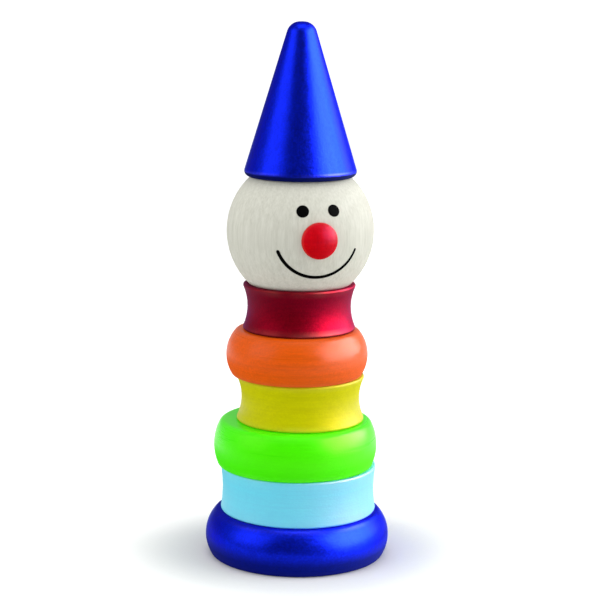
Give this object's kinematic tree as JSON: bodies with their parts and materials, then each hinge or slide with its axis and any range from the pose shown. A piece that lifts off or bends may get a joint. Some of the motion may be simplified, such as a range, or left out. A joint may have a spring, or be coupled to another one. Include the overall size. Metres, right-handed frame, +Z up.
{
  "type": "stacking clown figure",
  "caption": "Wooden stacking clown: turned rings, a ball head with a painted face and a cone hat, threaded loosely on a post glued in a round base.",
  "frame": {"origin": "middle of the base's underside, on the post's axis", "axes": "+Z up along the post, -Y towards the viewer, the face turned 15 degrees from -Y towards +X"},
  "size_m": [0.0762, 0.0762, 0.2198],
  "materials": {
    "deep_blue_lacquer": "satin lacquer over turned wood",
    "light_blue_lacquer": "satin lacquer over turned wood",
    "green_lacquer": "satin lacquer over turned wood",
    "yellow_lacquer": "satin lacquer over turned wood",
    "orange_lacquer": "satin lacquer over turned wood",
    "red_lacquer": "satin lacquer over turned wood",
    "nose_lacquer": "glossy lacquer over turned wood",
    "bare_wood": "fine sanded pale wood, thin matt clear coat",
    "post_wood": "sanded beech dowel",
    "black_paint": "satin paint"
  },
  "bodies": {
    "base": {"base": "deep_blue_lacquer", "post": "post_wood"},
    "light_blue_ring": {"light_blue_ring": "light_blue_lacquer"},
    "green_ring": {"green_ring": "green_lacquer"},
    "yellow_ring": {"yellow_ring": "yellow_lacquer"},
    "orange_ring": {"orange_ring": "orange_lacquer"},
    "red_collar": {"red_collar": "red_lacquer"},
    "head": {"head": "bare_wood", "nose": "nose_lacquer", "left_eye": "black_paint", "right_eye": "black_paint", "smile": "black_paint"},
    "hat": {"hat": "deep_blue_lacquer"}
  },
  "joints": [
    {"name": "light_blue_ring_lift", "type": "slide", "parent": "base", "child": "light_blue_ring", "axis": [0, 0, 1], "range_m": [0, 0.16]},
    {"name": "green_ring_lift", "type": "slide", "parent": "light_blue_ring", "child": "green_ring", "axis": [0, 0, 1], "range_m": [0, 0.14]},
    {"name": "yellow_ring_lift", "type": "slide", "parent": "green_ring", "child": "yellow_ring", "axis": [0, 0, 1], "range_m": [0, 0.121]},
    {"name": "orange_ring_lift", "type": "slide", "parent": "yellow_ring", "child": "orange_ring", "axis": [0, 0, 1], "range_m": [0, 0.102]},
    {"name": "red_collar_lift", "type": "slide", "parent": "orange_ring", "child": "red_collar", "axis": [0, 0, 1], "range_m": [0, 0.083]},
    {"name": "head_lift", "type": "slide", "parent": "red_collar", "child": "head", "axis": [0, 0, 1], "range_m": [0, 0.064]},
    {"name": "hat_lift", "type": "slide", "parent": "head", "child": "hat", "axis": [0, 0, 1], "range_m": [0, 0.021]}
  ]
}
